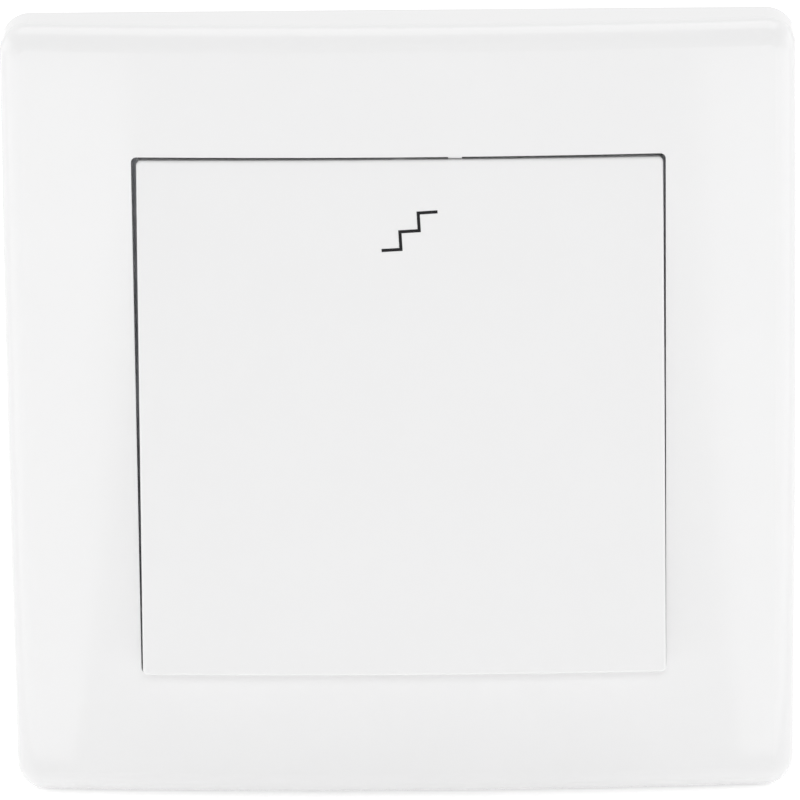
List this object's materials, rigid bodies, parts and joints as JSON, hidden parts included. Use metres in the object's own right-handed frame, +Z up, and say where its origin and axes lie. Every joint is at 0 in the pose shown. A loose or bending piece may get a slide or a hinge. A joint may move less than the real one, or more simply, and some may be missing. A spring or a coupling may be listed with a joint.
{
  "type": "rocker light switch",
  "caption": "Flush wall switch with an arched square cover plate, a wide tilting key, a rocking two-way contact, screw terminals, a steel mounting strap and claws.",
  "frame": {"origin": "middle of the mounting strap's back face, which is also the middle of the wall-box screw slots and lies in the wall plane", "axes": "X to the right, Z up, and +Y into the wall, so the front faces -Y"},
  "size_m": [0.082, 0.0363, 0.082],
  "materials": {
    "white_plastic": "white moulded plastic with a soft gloss",
    "grey_plastic": "pale grey moulded plastic, matte",
    "housing_plastic": "off-white moulded plastic, matte",
    "zinc_steel": "zinc-plated steel",
    "spring_steel": "bright spring wire",
    "brass": "plain brass",
    "silver_contact": "silver contact faces",
    "dark_print": "dark grey ink, printed on the key"
  },
  "bodies": {
    "mechanism": {"cover_frame": "white_plastic", "mounting_strap": "zinc_steel", "housing_base": "housing_plastic", "housing_cover": "housing_plastic", "housing_rivets": "zinc_steel", "common_bracket": "brass", "upper_contact_strip": "brass", "lower_contact_strip": "brass", "fixed_contact_tips": "silver_contact", "upper_terminal": "brass", "lower_terminal": "brass", "common_terminal": "brass", "terminal_screws": "zinc_steel"},
    "rocker": {"rocker_cap": "white_plastic", "rocker_cradle": "grey_plastic", "plunger_spring": "spring_steel"},
    "plunger": {"plunger": "grey_plastic"},
    "contact_arm": {"contact_arm": "brass", "arm_contacts": "silver_contact"},
    "left_claw": {"left_claw": "zinc_steel"},
    "right_claw": {"right_claw": "zinc_steel"},
    "left_claw_screw": {"left_claw_screw": "zinc_steel"},
    "right_claw_screw": {"right_claw_screw": "zinc_steel"}
  },
  "joints": [
    {"name": "rocker_tilt", "type": "hinge", "parent": "mechanism", "child": "rocker", "pos_m": [0, -0.0065, 0], "axis": [1, 0, 0], "range_deg": [0, 8]},
    {"name": "contact_arm_tilt", "type": "hinge", "parent": "mechanism", "child": "contact_arm", "pos_m": [0, 0.01281, 0], "axis": [1, 0, 0], "range_deg": [-12, 0]},
    {"name": "plunger_slide", "type": "slide", "parent": "rocker", "child": "plunger", "axis": [0, -0.9976, 0.0698], "range_m": [0, 0.001], "stiffness_N_per_m": 300, "springref_m": -0.003, "deforming": ["plunger_spring"]},
    {"name": "left_claw_screw_turn", "type": "hinge", "parent": "mechanism", "child": "left_claw_screw", "pos_m": [-0.0232, 0, 0], "axis": [0, 1, 0], "range_deg": [0, 4320]},
    {"name": "left_claw_slide", "type": "slide", "parent": "mechanism", "child": "left_claw", "axis": [0, -1, 0], "range_m": [0, 0.006]},
    {"name": "right_claw_screw_turn", "type": "hinge", "parent": "mechanism", "child": "right_claw_screw", "pos_m": [0.0232, 0, 0], "axis": [0, 1, 0], "range_deg": [0, 4320]},
    {"name": "right_claw_slide", "type": "slide", "parent": "mechanism", "child": "right_claw", "axis": [0, -1, 0], "range_m": [0, 0.006]}
  ],
  "couplings": [
    {"joint": "contact_arm_tilt", "follows": "rocker_tilt", "ratio": -1.5},
    {"joint": "left_claw_screw_turn", "follows": "left_claw_slide", "rad_per_m": 12566},
    {"joint": "right_claw_screw_turn", "follows": "right_claw_slide", "rad_per_m": 12566}
  ]
}
